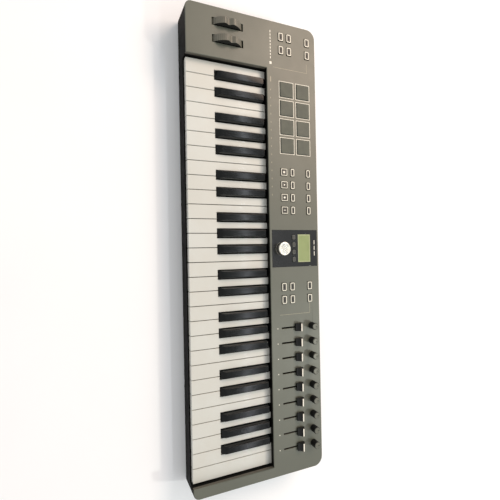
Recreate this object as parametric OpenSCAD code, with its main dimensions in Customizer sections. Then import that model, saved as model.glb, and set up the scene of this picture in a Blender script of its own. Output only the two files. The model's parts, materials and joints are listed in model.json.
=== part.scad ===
// Keyboard controller: 49 sprung keys, two wheels, eight pads, nine faders and nine knobs in a slim case.
//
// Every module draws in the key frame: x = 0 at the bass edge of the lowest white key, y = 0 at the fronts
// of the white keys, z = 0 on the table. The row frame has its origin under the middle of the case.

/* [Case] */
// Length of the case, bass end to treble end
case_length = 784; // [776:1:800]
// Depth of the case, front to back
case_depth = 238; // [236:0.5:244]
// Height of the panel's top face above the table
panel_top = 59; // [57:0.5:62]
// Width of the cheek that carries the wheels
bass_cheek = 82.7; // [80:0.1:86]
// Wall thickness of both shells
wall = 2.5; // [2:0.1:3]
// Thickness of the panel plate
plate_t = 3; // [2.5:0.1:3.5]
// Plan radius of the two front corners
front_r = 10; // [6:0.5:14]
// Plan radius of the two back corners
back_r = 16; // [10:0.5:20]
// Bevel round the bottom edge of the case
bottom_bevel = 5; // [3:0.5:6]
// Height of the joint between the two shells
split_z = 37.5; // [36:0.5:39]
// Height of the rubber feet
foot_h = 3; // [2:0.5:3]
// Radius of the rubber feet
foot_r = 9; // [7:0.5:11]

/* [Keys] */
// Distance between neighbouring white keys
white_pitch = 23.5; // [23:0.1:23.5]
// Gap between neighbouring keys
key_gap = 1.1; // [0.8:0.05:1.2]
// Width of a black key at its foot
black_w = 14; // [12.5:0.1:14.2]
// Width of a black key at its top
black_top_w = 10.8; // [10:0.1:12]
// How far a black key's front stands behind the white keys' fronts
black_front = 48.6; // [46:0.1:51]
// How far a black key's top stands above the white keys
black_rise = 7.5; // [7:0.1:11.5]
// How far the panel's top face stands above the white keys
panel_rise = 12.5; // [12:0.1:13]
// Distance from the white keys' fronts to the wall behind them
key_visible = 138; // [136:0.5:139]
// Depth of a key's side walls
key_skirt = 14; // [13:0.1:14.5]

/* [Wheels] */
// Radius of a wheel
wheel_r = 30; // [28:0.5:30]
// Width of a wheel
wheel_w = 11; // [10:0.1:11.5]
// Angle by which the modulation wheel's dimple is turned to the back at rest
mod_rest = 9; // [0:1:15]

/* [Controls] */
// Side of a square pad
pad_side = 25.25; // [24:0.25:27]
// Distance between neighbouring pads
pad_pitch = 32.63; // [32:0.01:33]
// Distance between neighbouring faders, and neighbouring knobs
strip_pitch = 26.15; // [25.5:0.05:26.2]
// Travel of a fader
fader_travel = 30; // [25:1:32]
// Radius of a knob
knob_r = 6; // [5:0.1:7]
// Height of a knob above the panel
knob_h = 14.5; // [12:0.5:16]
// Radius of the push encoder
encoder_r = 11.4; // [10:0.1:12]
// Height of the push encoder above the panel
encoder_h = 12.5; // [10:0.5:14]
// Radius of a pedal plug's hole
jack_r = 3.25; // [3.2:0.01:3.3]
// Radius of the plug's well in the five-pin socket
din_r = 6.8; // [6.7:0.05:6.9]

/* [Hidden] */
$fn = 48;
eps = 1;                                    // how far a cutter runs past the face that it opens

// Key bed
white_count = 29;
scale_notes = 7;                            // white keys in an octave
sharps = [1, 2, 4, 5, 6];                   // white-key edges in an octave that carry a black key
sharp_shift = [0, -2.25, 2.25, 0, -3.1, 0, 3.1];    // how far each one stands from its edge
keys_x1 = white_count * white_pitch;        // treble edge of the highest white key
key_top = panel_top - panel_rise;
key_low = key_top - key_skirt;
end_gap = 1.1;                              // between the end keys and the cheeks
skin = 2.5;                                 // thickness of a key's top
key_wall = 1.6;
tail_y = key_visible + 3.5;                 // where a key steps down under the panel
hub_y = 164;                                // back end of a key
hub_inset = 2.5;                            // how much narrower a key is at the rod, on each side
hub_top = key_top - 3.5;
pivot_y = 158;
pivot_z = key_top - 8;
rod_r = 2;
run_gap = 0.05;                             // radial clearance of every running fit
rib_y = [106, 118];                         // cross rib that presses the contact strip
front_post = [6, 12];                       // guide posts of the white keys, front to back
black_post = [58, 64];                      // guide posts of the black keys
stop_y = [17, 23];                          // rail that the white keys land on

// Case
case_x0 = -end_gap - bass_cheek;
case_x1 = case_x0 + case_length;
front_y = -2.5;
back_y = front_y + case_depth;
open_x = [-end_gap, keys_x1 + end_gap];     // space that the keys stand in, bass to treble
plate_low = panel_top - plate_t;
floor_z = foot_h + wall;
rail_t = 1.5;                               // front wall where the keys stand behind it
rear_wall_low = key_top + 2.5;
frame_low = 8;
frame_t = 2.5;
boss_r = 4;
screw_r = 1.5;
screw_head = [3, 1.1];                      // radius and height of a screw's head
screw_len = 9;
bosses = [for (x = [156, 258, 358, 432, 564.6]) [x, 225.5], for (x = [-73, 689.5]) [x, 221.5],
          for (x = [-73.5, 690.3], y = [12, 122]) [x, y]];
frame_x = [open_x[0] - 5, open_x[1] + 3.4]; // ends of the key chassis and of the rod
feet = [for (x = [-55, 308, 672], y = [22, 214]) [x, y]];

// Boards
board_t = 1.6;
board_z = 46;                               // underside of the board that carries the controls
board_top = board_z + board_t;
board_x = [-67, 684];
board_y = [142.5, 221];
contact_z = 22;
contact_y = [100, 124];
dome_top = 29.3;
socket_board_z = 14;
socket_board_y = [204, 231];

// Wheels
wheel_x = [-59.25, -31.5];
wheel_y = 68;
wheel_z = panel_top - 18;
wheel_slot = [12.5, 54];
axle_r = 3;
bracket_t = 3;

// Controls, placed by their centres
control_gap = 0.4;                          // between a button and the edge of its hole
button_size = [14, 9];
square_size = [12.5, 12.5];
narrow_size = [13.5, 7.5];
soft_size = [8, 6];                         // buttons between the encoder and the display
button_low = 50.5;
button_rise = 1.4;
left_spots = [[-58.8, 165.5], [-35.7, 165.5], [-58.8, 181.3], [-35.7, 181.3], [-58.4, 218], [-35.9, 218]];
right_spots = [for (y = [163.8, 179.9, 215.2], x = [375.6, 397.8]) [x, y]];
transport_x = [176.2, 198.3, 220.3, 242.3];
transport_spots = [for (x = transport_x) [x, 167.5]];
command_spots = [for (y = [184, 216], x = transport_x) [x, y]];
soft_spots = [for (x = [289.5, 302.3, 315.3, 328.2]) [x, 184.3]];
pad_origin = [19.35, 162.65];               // bass front corner of the first pad
pad_low = 51;
pad_rise = 1.8;
pad_gap = 0.5;
strip_x = 446.9;                            // first fader and first knob
fader_rest = 192;                           // where the fader caps stand at rest, at the back of their slots
slot_w = 2.8;
slot_y = [fader_rest - fader_travel - 4.2, fader_rest + 4];
lever = [1.2, 6];                           // section of a fader's lever
cap_w = 13.5;
cap_reach = [8.5, 5];                       // from the ridge of a fader cap to its front and to its back
cap_top = panel_top + 10;
cap_low = panel_top + 0.8;
track_y = [153, 201];
track_w = 9;
knob_y = 217;
knob_low = panel_top + 0.8;
shaft_r = 3;
shaft_hole = 3.4;
pot_side = 11;
pot_top = 54;
encoder_spot = [309.2, 160];

// Display module
bezel_x = [276.7, 341];
bezel_y = [142, 232.3];
bezel_top = panel_top + 0.4;
bezel_low = panel_top - 2.6;
lcd_x = [284.5, 333.3];
lcd_y = [193, 218];

// Sockets in the back wall
socket_z = 24;
usb_x = -48;
din_x = -18;
jack_x = [14, 40];
socket_face = back_y - 0.3;
din_body_r = 7.9;
din_depth = 8;
jack_body_r = 5.5;
jack_depth = 22;

function has_black(edge) =
    edge > 0 && edge < white_count && len(search(edge % scale_notes, sharps)) > 0;
function head_x0(k) = k * white_pitch + key_gap / 2;
function head_x1(k) = (k + 1) * white_pitch - key_gap / 2;
function black_x(edge) = edge * white_pitch + sharp_shift[edge % scale_notes];
function tail_x0(k) = has_black(k) ? black_x(k) + black_w / 2 + key_gap : head_x0(k);
function tail_x1(k) = has_black(k + 1) ? black_x(k + 1) - black_w / 2 - key_gap : head_x1(k);
function strip_spot(n, y) = [strip_x + n * strip_pitch, y];
function pad_spot(n) = [pad_origin[0] + floor(n / 2) * pad_pitch, pad_origin[1] + (n % 2) * pad_pitch];

// Moves the key frame to the row frame
module in_row() {
    translate([-(case_x0 + case_x1) / 2, -(front_y + back_y) / 2, 0]) children();
}

// A block between two values on each axis
module block(x, y, z) {
    translate([x[0], y[0], z[0]]) cube([x[1] - x[0], y[1] - y[0], z[1] - z[0]]);
}

// A block of the given size, centred on a spot of the panel
module spot_block(spot, size, z) {
    block([spot[0] - size[0] / 2, spot[0] + size[0] / 2], [spot[1] - size[1] / 2, spot[1] + size[1] / 2], z);
}

// A rod along x
module rod_x(x, r, y, z) {
    translate([x[0], y, z]) rotate([0, 90, 0]) cylinder(h = x[1] - x[0], r = r);
}

// A rod along y
module rod_y(y, r, x, z) {
    translate([x, y[1], z]) rotate([90, 0, 0]) cylinder(h = y[1] - y[0], r = r);
}

// Plan of the case, drawn in by an inset
module plan(inset = 0) {
    x0 = case_x0 + inset;
    x1 = case_x1 - inset;
    y0 = front_y + inset;
    y1 = back_y - inset;
    rf = front_r - inset;
    rb = back_r - inset;
    for (x = [x0 + rf, x1 - rf]) translate([x, y0 + rf]) circle(rf, $fn = 96);
    for (x = [x0 + rb, x1 - rb]) translate([x, y1 - rb]) circle(rb, $fn = 96);
    translate([x0 + rf, y0]) square([x1 - x0 - 2 * rf, rf + eps]);
    translate([x0 + rb, y1 - rb - eps]) square([x1 - x0 - 2 * rb, rb + eps]);
    translate([x0, y0 + rf]) square([x1 - x0, y1 - y0 - rf - rb]);
}

// The plan raised between two heights
module plan_prism(inset, z) {
    translate([0, 0, z[0]]) linear_extrude(z[1] - z[0]) plan(inset);
}

// Outline of the case seen along one of its edges, with both bottom corners bevelled
module bevelled(a, b, top) {
    polygon([[a, top], [a, foot_h + bottom_bevel], [a + bottom_bevel, foot_h], [b - bottom_bevel, foot_h],
             [b, foot_h + bottom_bevel], [b, top]]);
}

// The lower shell's solid outside, up to the joint
module lower_form() {
    intersection() {
        plan_prism(0, [foot_h, split_z]);
        translate([0, back_y + eps, 0]) rotate([90, 0, 0])
            linear_extrude(case_depth + 2 * eps) bevelled(case_x0, case_x1, split_z);
        translate([case_x0 - eps, 0, 0]) rotate([90, 0, 90])
            linear_extrude(case_length + 2 * eps) bevelled(front_y, back_y, split_z);
    }
}

module bottom_case() {
    color("#2b2b29") in_row() difference() {
        union() {
            difference() {
                lower_form();
                plan_prism(bottom_bevel + 0.2, [floor_z, split_z + eps]);
                plan_prism(wall, [foot_h + bottom_bevel + wall, split_z + eps]);
            }
            for (x = [usb_x - 12, jack_x[1] + 14], y = [208, 226])
                translate([x, y, floor_z]) cylinder(h = socket_board_z - floor_z, r = 2.5);
        }
        block(open_x, [front_y + rail_t, 10], [foot_h + bottom_bevel + wall, split_z + eps]);
        for (b = bosses) translate([b[0], b[1], foot_h - eps]) {
            cylinder(h = wall + 2 * eps, r = screw_r);
            cylinder(h = screw_head[1] + 0.1 + eps, r = screw_head[0] + 0.2);
        }
        rod_y([back_y - 2 * wall, back_y + eps], din_body_r, din_x, socket_z);
        for (x = jack_x) rod_y([back_y - 2 * wall, back_y + eps], jack_body_r, x, socket_z);
        usb_shell([back_y - 2 * wall, back_y + eps], 1.6);
    }
}

// Rounded flat bar along y with the section of the small data socket
module usb_shell(y, r) {
    half = 2.9;
    for (side = [-half, half]) rod_y(y, r, usb_x + side, socket_z);
    block([usb_x - half, usb_x + half], y, [socket_z - r, socket_z + r]);
}

// Openings of the panel for everything that comes up through it
module panel_openings() {
    through = [plate_low - eps, panel_top + eps];
    for (spots = [left_spots, right_spots], s = spots)
        spot_block(s, button_size + 2 * control_gap * [1, 1], through);
    for (s = transport_spots) spot_block(s, square_size + 2 * control_gap * [1, 1], through);
    for (s = command_spots) spot_block(s, narrow_size + 2 * control_gap * [1, 1], through);
    for (n = [0:7]) translate(pad_spot(n))
        block([-pad_gap, pad_side + pad_gap], [-pad_gap, pad_side + pad_gap], through);
    for (n = [0:8]) {
        x = strip_x + n * strip_pitch;
        block([x - slot_w / 2, x + slot_w / 2], slot_y, through);
        translate([x, knob_y, through[0]]) cylinder(h = through[1] - through[0], r = shaft_hole);
    }
    for (x = wheel_x) spot_block([x, wheel_y], wheel_slot, through);
    block(bezel_x, bezel_y, through);
}

module top_panel() {
    color("#7d776c") in_row() difference() {
        union() {
            difference() {
                plan_prism(0, [split_z, panel_top]);
                plan_prism(wall, [split_z - eps, plate_low]);
            }
            block([open_x[0] - wall, open_x[0]], [front_y + 1, key_visible + wall], [split_z, plate_low + eps]);
            block([open_x[1], open_x[1] + wall], [front_y + 1, key_visible + wall], [split_z, plate_low + eps]);
            block([open_x[0] - wall, open_x[1] + wall], [key_visible, key_visible + wall],
                  [rear_wall_low, plate_low + eps]);
            for (b = bosses) translate([b[0], b[1], floor_z]) cylinder(h = plate_low + eps - floor_z, r = boss_r);
        }
        block(open_x, [front_y - eps, key_visible], [split_z - eps, panel_top + eps]);
        for (b = bosses) translate([b[0], b[1], floor_z - eps]) cylinder(h = screw_len + eps, r = screw_r);
        panel_openings();
    }
}

module keybed_frame() {
    plate_top = frame_low + frame_t;
    color("#3a3a38") in_row() difference() {
        union() {
            block(frame_x, [4, 172], [frame_low, plate_top]);
            for (x = [frame_x[0], frame_x[1] - 3]) block([x, x + 3], [150, 168], [frame_low, hub_top + 1]);
            for (edge = [scale_notes:scale_notes:white_count - 1])
                block([edge * white_pitch - 2.6, edge * white_pitch - 1], [150, 168], [frame_low, hub_top + 1]);
            block([2, keys_x1 - 2], stop_y, [frame_low, 23.5]);
            for (k = [0:white_count - 1]) {
                middle = (tail_x0(k) + tail_x1(k)) / 2;
                block([middle - 2, middle + 2], front_post, [frame_low, key_low + 1.8]);
            }
            for (edge = [1:white_count - 1]) if (has_black(edge))
                block([black_x(edge) - 2, black_x(edge) + 2], black_post, [frame_low, key_low + 8]);
            for (y = contact_y) block([2, keys_x1 - 2], [y - 1.5, y + 1.5], [frame_low, contact_z]);
            for (x = [4, keys_x1 - 9], y = [30, 90, 140]) block([x, x + 5], [y, y + 5], [floor_z, frame_low + eps]);
        }
        rod_x([frame_x[0] - eps, frame_x[1] + eps], rod_r + run_gap, pivot_y, pivot_z);
    }
}

// Steel rod that every key turns on, with the coil of each key's return spring beside the key
module pivot_rod_springs() {
    starts = [for (k = [0:white_count - 1]) tail_x0(k),
              for (edge = [1:white_count - 1]) if (has_black(edge)) black_x(edge) - black_w / 2];
    color("#b9bbbd") in_row() {
        rod_x(frame_x, rod_r, pivot_y, pivot_z);
        for (x = starts) difference() {
            rod_x([x - key_gap / 2 - 0.6, x - key_gap / 2 + 2.4], rod_r + 1.5, pivot_y, pivot_z);
            rod_x([x - eps - 1, x + 3], rod_r + 0.3, pivot_y, pivot_z);
        }
    }
}

module contact_board() {
    color("#2f6b45") in_row()
        block([1, keys_x1 - 1], [contact_y[0] - 3, contact_y[1] + 3], [contact_z, contact_z + board_t]);
}

// Silicone strip with one dome under each key
module contact_strip() {
    base = contact_z + board_t;
    rib_mid = (rib_y[0] + rib_y[1]) / 2;
    color("#8f8f8a") in_row() {
        block([2, keys_x1 - 2], [rib_mid - 7, rib_mid + 7], [base, base + 1]);
        for (k = [0:white_count - 1])
            translate([(tail_x0(k) + tail_x1(k)) / 2, rib_mid, base]) cylinder(h = dome_top - base, r = 3);
        for (edge = [1:white_count - 1]) if (has_black(edge))
            translate([black_x(edge), rib_mid, base]) cylinder(h = dome_top - base, r = 3);
    }
}

// Board of the controls, notched round the front screw posts, and the small board of the sockets
module control_board() {
    notch_r = 4;
    color("#2f6b45") in_row() {
        difference() {
            block(board_x, board_y, [board_z, board_top]);
            for (x = board_x) translate([x, board_y[0], board_z - eps]) cylinder(h = board_t + 2 * eps, r = notch_r);
        }
        block([usb_x - 16, jack_x[1] + 18], socket_board_y, [socket_board_z, socket_board_z + board_t]);
    }
}

module display_bezel() {
    color("#1c1e20") in_row() difference() {
        block(bezel_x, bezel_y, [bezel_low, bezel_top]);
        block(lcd_x, lcd_y, [bezel_low - eps, bezel_top + eps]);
        for (s = soft_spots) spot_block(s, soft_size + 2 * control_gap * [1, 1], [bezel_low - eps, bezel_top + eps]);
        translate([encoder_spot[0], encoder_spot[1], bezel_low - eps]) cylinder(h = 2 * wall, r = shaft_hole);
    }
}

module lcd_window() {
    color("#a9b37c") in_row() block(lcd_x, lcd_y, [board_top, bezel_top - 0.3]);
}

// Bracket with three cheeks and the axle that both wheels turn on
module wheel_bracket() {
    reach = 34;
    plates = [wheel_x[0] - 10.5, (wheel_x[0] + wheel_x[1] - bracket_t) / 2, wheel_x[1] + 7.5];
    color("#3a3a38") in_row() {
        block([plates[0], plates[2] + bracket_t], [wheel_y - reach, wheel_y + reach], [floor_z, floor_z + 2.5]);
        for (x = plates)
            block([x, x + bracket_t], [wheel_y - 14, wheel_y + 14], [floor_z, wheel_z + 8]);
        rod_x([plates[0], plates[2] + bracket_t], axle_r, wheel_y, wheel_z);
    }
}

// Slide bodies of the faders, rotary bodies of the knobs and the encoder's body
module potentiometers() {
    spots = [for (n = [0:8]) strip_spot(n, knob_y), encoder_spot];
    color("#9a9c9e") in_row() {
        for (n = [0:8]) difference() {
            x = strip_x + n * strip_pitch;
            block([x - track_w / 2, x + track_w / 2], track_y, [board_top, plate_low]);
            block([x - slot_w / 2, x + slot_w / 2], slot_y, [board_top + 1, plate_low + eps]);
        }
        for (s = spots) difference() {
            spot_block(s, [pot_side, pot_side], [board_top, pot_top]);
            translate([s[0], s[1], board_top + 1]) cylinder(h = pot_top - board_top, r = shaft_r + run_gap);
        }
    }
}

// Data socket, five-pin socket and the two pedal jacks
module rear_sockets() {
    pin_ring = 4.45;
    color("#1b1b1b") in_row() {
        difference() {
            usb_shell([socket_face - 8, socket_face], 1.6);
            usb_shell([socket_face - 6.5, socket_face + eps], 1.3);
        }
        block([usb_x - 3.3, usb_x + 3.3], [socket_face - 6.5, socket_face - 0.8], [socket_z - 0.35, socket_z + 0.35]);
        difference() {
            rod_y([socket_face - din_depth - 5, socket_face], din_body_r, din_x, socket_z);
            rod_y([socket_face - din_depth, socket_face + eps], din_r, din_x, socket_z);
            for (a = [0:45:180])
                rod_y([socket_face - din_depth - 4, socket_face], 0.8,
                      din_x + pin_ring * cos(a), socket_z - pin_ring * sin(a));
        }
        for (x = jack_x) difference() {
            rod_y([socket_face - jack_depth - 2, socket_face], jack_body_r, x, socket_z);
            rod_y([socket_face - jack_depth, socket_face + eps], jack_r, x, socket_z);
        }
    }
}

module rubber_feet() {
    color("#202020") in_row()
        for (f = feet) translate([f[0], f[1], 0]) cylinder(h = foot_h, r = foot_r, $fn = 64);
}

module case_screws() {
    color("#55565a") in_row() for (b = bosses) translate([b[0], b[1], foot_h + 0.1]) difference() {
        union() {
            cylinder(h = screw_head[1], r = screw_head[0]);
            cylinder(h = screw_len, r = screw_r);
        }
        for (turn = [0, 90]) rotate(turn) translate([-1.6, -0.35, -eps]) cube([3.2, 0.7, eps + 0.7]);
    }
}

// One white key: a wide head, a tail between the black keys and a narrow hub on the rod
module white_key(k) {
    head_back = black_front - key_gap;
    low = key_low - eps;
    x0 = tail_x0(k);
    x1 = tail_x1(k);
    difference() {
        union() {
            block([head_x0(k), head_x1(k)], [0, head_back], [key_low, key_top]);
            block([x0, x1], [head_back - eps, tail_y], [key_low, key_top]);
            block([x0 + hub_inset, x1 - hub_inset], [tail_y - eps, hub_y], [key_low, hub_top]);
        }
        block([head_x0(k) + key_wall, head_x1(k) - key_wall], [key_wall, head_back - key_wall],
              [low, key_top - skin]);
        block([x0 + key_wall, x1 - key_wall], [key_wall, rib_y[0]], [low, key_top - skin]);
        block([x0 + key_wall, x1 - key_wall], [rib_y[1], tail_y - key_wall], [low, key_top - skin]);
        rod_x([x0, x1], rod_r + run_gap, pivot_y, pivot_z);
    }
}

// One black key: a tapered block with a sloped front, standing on a straight foot
module black_key(edge) {
    x = black_x(edge);
    top = key_top + black_rise;
    foot = key_top - 1;
    raised_back = key_visible - 4;
    slope = [5, 8];                         // where the front slope meets the rounding, and the flat top
    hollow_top = key_top + black_rise / 3;
    half = black_w / 2;
    low = key_low - eps;
    difference() {
        union() {
            block([x - half, x + half], [black_front, tail_y], [key_low, foot + eps]);
            intersection() {
                translate([x - half, 0, 0]) rotate([90, 0, 90]) linear_extrude(black_w)
                    polygon([[black_front, foot], [black_front, key_top + 1], [black_front + slope[0], top - 0.7],
                             [black_front + slope[1], top], [raised_back, top], [raised_back, foot]]);
                translate([0, raised_back + eps, 0]) rotate([90, 0, 0]) linear_extrude(raised_back)
                    polygon([[x - half, foot - eps], [x - half, foot + 1], [x - black_top_w / 2, top + 0.1],
                             [x + black_top_w / 2, top + 0.1], [x + half, foot + 1], [x + half, foot - eps]]);
            }
            block([x - half + hub_inset, x + half - hub_inset], [tail_y - eps, hub_y], [key_low, hub_top]);
        }
        block([x - half + key_wall, x + half - key_wall], [black_front + 6, rib_y[0]], [low, hollow_top]);
        block([x - half + key_wall, x + half - key_wall], [rib_y[1], tail_y - key_wall], [low, key_top - skin]);
        rod_x([x - half, x + half], rod_r + run_gap, pivot_y, pivot_z);
    }
}

// Every white key of one note, bass to treble
module white_note(step) {
    color("#ece7dc") in_row() for (k = [step:scale_notes:white_count - 1]) white_key(k);
}

// Every black key of one note, bass to treble
module black_note(step) {
    color("#17181a") in_row() for (edge = [step:scale_notes:white_count - 1]) black_key(edge);
}

// Ribbed rim with a scooped dimple at the top
module wheel_outline(turn) {
    ribs = 60;
    rib_depth = 0.35;
    dimple_half = 17;
    dimple_depth = 4.5;
    steps = 360;
    function dimple(a) = abs(a) < dimple_half ? dimple_depth * (1 + cos(180 * a / dimple_half)) / 2 : 0;
    function rib(a) = abs(a) < dimple_half ? 0 : rib_depth * (1 + cos(a * ribs)) / 2;
    polygon([for (i = [0:steps - 1]) let (a = i - 180, r = wheel_r - dimple(a) - rib(a))
             [r * sin(a + turn), r * cos(a + turn)]]);
}

module wheel(x, turn) {
    color("#4a4a47") in_row() difference() {
        translate([x - wheel_w / 2, wheel_y, wheel_z]) rotate([90, 0, 90]) linear_extrude(wheel_w)
            wheel_outline(turn);
        rod_x([x - wheel_w, x + wheel_w], axle_r + run_gap, wheel_y, wheel_z);
    }
}

module pitch_wheel() { wheel(wheel_x[0], 0); }

module mod_wheel() { wheel(wheel_x[1], mod_rest); }

module encoder_knob() {
    low = bezel_top + 0.6;
    color("#c9c9c4") in_row() translate([encoder_spot[0], encoder_spot[1], 0]) {
        translate([0, 0, low]) cylinder(h = panel_top + encoder_h - low, r = encoder_r, $fn = 96);
        translate([0, 0, board_top + 2]) cylinder(h = low - board_top - 1, r = shaft_r);
    }
}

// One pad with a hidden rim that keeps it under the panel
module pad(n) {
    rim = 1.5;
    rim_h = 2;
    color("#47463f") in_row() translate(pad_spot(n)) {
        block([0, pad_side], [0, pad_side], [pad_low, panel_top + pad_rise]);
        block([-rim, pad_side + rim], [-rim, pad_side + rim], [pad_low, pad_low + rim_h]);
    }
}

// One fader: the lever in its slot and a cap whose scooped front and steep back meet in a ridge
module fader(n) {
    ridge = 1.5;
    low_end = 3.2;
    steps = 6;
    x = strip_x + n * strip_pitch;
    function scoop(reach, power) = [for (i = [0:steps]) let (t = i / steps)
        [ridge + (reach - ridge) * t, cap_low + low_end + (cap_top - cap_low - low_end) * pow(1 - t, power)]];
    front = scoop(cap_reach[0], 2.2);
    back = scoop(cap_reach[1], 1.2);
    color("#1d1e1e") in_row() translate([0, fader_rest, 0]) {
        block([x - lever[0] / 2, x + lever[0] / 2], [-lever[1] / 2, lever[1] / 2], [board_top + 2.5, cap_low + eps]);
        translate([x - cap_w / 2, 0, 0]) rotate([90, 0, 90]) linear_extrude(cap_w)
            polygon(concat([[cap_reach[1], cap_low], [-cap_reach[0], cap_low]],
                           [for (i = [steps:-1:0]) [-front[i][0], front[i][1]]], back));
    }
}

// One knob: a fluted grip on its shaft
module knob(n) {
    flutes = 18;
    flute_depth = 0.5;
    steps = 180;
    disc_h = 0.8;
    disc_r = knob_r - 1.2;
    spot = strip_spot(n, knob_y);
    top = panel_top + knob_h;
    color("#1d1e1e") in_row() translate([spot[0], spot[1], 0]) {
        translate([0, 0, knob_low]) linear_extrude(top - disc_h - knob_low)
            polygon([for (i = [0:steps - 1]) let (a = i * 360 / steps,
                     r = knob_r - flute_depth * (1 + cos(a * flutes)) / 2) [r * cos(a), r * sin(a)]]);
        translate([0, 0, top - disc_h - 1]) cylinder(h = disc_h + 1, r = disc_r);
        translate([0, 0, board_top + 2]) cylinder(h = knob_low - board_top - 1, r = shaft_r);
    }
}

// A cluster of button caps that share one moulding
module button_caps(spots, size, shade, top = panel_top + button_rise) {
    color(shade) in_row() for (s = spots) spot_block(s, size, [button_low, top]);
}

module left_buttons() { button_caps(left_spots, button_size, "#4c4a43"); }

module right_buttons() { button_caps(right_spots, button_size, "#4c4a43"); }

module transport_buttons() { button_caps(transport_spots, square_size, "#4c4a43"); }

module command_buttons() { button_caps(command_spots, narrow_size, "#4c4a43"); }

module display_buttons() { button_caps(soft_spots, soft_size, "#5d5f60", bezel_top + 1); }

bottom_case();
top_panel();
keybed_frame();
pivot_rod_springs();
contact_board();
contact_strip();
control_board();
display_bezel();
lcd_window();
wheel_bracket();
potentiometers();
rear_sockets();
rubber_feet();
case_screws();
white_note(0);  // keys_c
white_note(1);  // keys_d
white_note(2);  // keys_e
white_note(3);  // keys_f
white_note(4);  // keys_g
white_note(5);  // keys_a
white_note(6);  // keys_b
black_note(1);  // keys_c_sharp
black_note(2);  // keys_d_sharp
black_note(4);  // keys_f_sharp
black_note(5);  // keys_g_sharp
black_note(6);  // keys_a_sharp
pitch_wheel();
mod_wheel();
encoder_knob();
for (n = [0:7]) pad(n);
for (n = [0:8]) fader(n);
for (n = [0:8]) knob(n);
left_buttons();
transport_buttons();
command_buttons();
display_buttons();
right_buttons();
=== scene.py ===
"""A 49-key keyboard controller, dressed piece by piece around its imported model.

Lengths in this file are millimetres, in the row frame: x runs to the treble end, y to the back of the case
and z up from the table. Every mesh is built in metres, through MM. The studio's own lengths are metres.
"""
import json
import logging
import math
from collections.abc import Callable, Iterator
from contextlib import contextmanager
from dataclasses import dataclass, field, replace
from enum import Enum
from functools import partial

import bmesh
import bpy
from mathutils import Euler, Matrix, Vector

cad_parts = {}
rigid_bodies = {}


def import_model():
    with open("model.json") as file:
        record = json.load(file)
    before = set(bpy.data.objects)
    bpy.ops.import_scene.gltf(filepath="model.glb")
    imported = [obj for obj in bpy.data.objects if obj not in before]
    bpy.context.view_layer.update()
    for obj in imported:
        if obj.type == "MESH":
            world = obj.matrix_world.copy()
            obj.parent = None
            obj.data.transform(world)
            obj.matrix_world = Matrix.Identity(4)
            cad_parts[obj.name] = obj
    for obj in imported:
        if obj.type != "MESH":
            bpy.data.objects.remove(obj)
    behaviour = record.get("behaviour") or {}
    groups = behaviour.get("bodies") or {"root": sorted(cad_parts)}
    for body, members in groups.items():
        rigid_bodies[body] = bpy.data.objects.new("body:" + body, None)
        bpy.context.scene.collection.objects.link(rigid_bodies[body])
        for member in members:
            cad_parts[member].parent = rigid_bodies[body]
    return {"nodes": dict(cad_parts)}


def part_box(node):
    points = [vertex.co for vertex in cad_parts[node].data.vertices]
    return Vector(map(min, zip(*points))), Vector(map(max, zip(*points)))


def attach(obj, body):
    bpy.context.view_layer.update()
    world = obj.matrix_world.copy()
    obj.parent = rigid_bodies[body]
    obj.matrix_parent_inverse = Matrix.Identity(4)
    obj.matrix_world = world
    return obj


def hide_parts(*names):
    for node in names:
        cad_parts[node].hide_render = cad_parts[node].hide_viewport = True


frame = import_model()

LOG = logging.getLogger("keyboard")
MM = 0.001
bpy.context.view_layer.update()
FACET_ANGLE = math.radians(35)              # sharper corners than this stay crisp when a piece is smoothed
SAME = 0.02                                 # two places closer than this are the same place
MARK_MM = 18.0                              # the size of the faint handling marks on every surface
NEAR = 0.5                                  # a face or an edge closer than this to a spot or a level is at it
COLOUR_A, COLOUR_B, COLOUR_OUT = 6, 7, 2    # the colour sockets of a Mix node

Piece = bpy.types.Object
Tree = bpy.types.NodeTree
Socket = bpy.types.NodeSocket
Test = Callable[[Vector, Vector], bool]     # reads a face's middle and normal, or the two ends of an edge


# ---- places ----


def linear(hex_code: str) -> tuple[float, float, float, float]:
    """Turns an sRGB hex colour into the linear colour that a shader wants.

    Args:
        hex_code: six hex digits.

    Returns:
        Red, green, blue and an alpha of one.
    """
    channels = [int(hex_code[i:i + 2], 16) / 255 for i in (0, 2, 4)]
    red, green, blue = (c / 12.92 if c <= 0.04045 else ((c + 0.055) / 1.055) ** 2.4 for c in channels)
    return red, green, blue, 1.0


@dataclass(frozen=True)
class Box:
    """A box between two corners."""

    low: Vector
    high: Vector

    @classmethod
    def of(cls, node: str) -> "Box":
        """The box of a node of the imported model."""
        low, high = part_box(node)
        return cls(low / MM, high / MM)

    @property
    def middle(self) -> Vector:
        """The centre of the box."""
        return (self.low + self.high) / 2

    @property
    def size(self) -> Vector:
        """The three side lengths."""
        return self.high - self.low

    def grown(self, by: float) -> "Box":
        """A copy whose plan reaches further by a length on every side."""
        more = Vector((by, by, 0))
        return Box(self.low - more, self.high + more)

    def between(self, z0: float, z1: float) -> "Box":
        """A copy of the same plan between two other heights."""
        return Box(Vector((self.low.x, self.low.y, z0)), Vector((self.high.x, self.high.y, z1)))


def box_at(x: float, y: float, width: float, depth: float, z0: float, z1: float) -> Box:
    """A box with its plan centred on a spot."""
    return Box(Vector((x - width / 2, y - depth / 2, z0)), Vector((x + width / 2, y + depth / 2, z1)))


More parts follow.
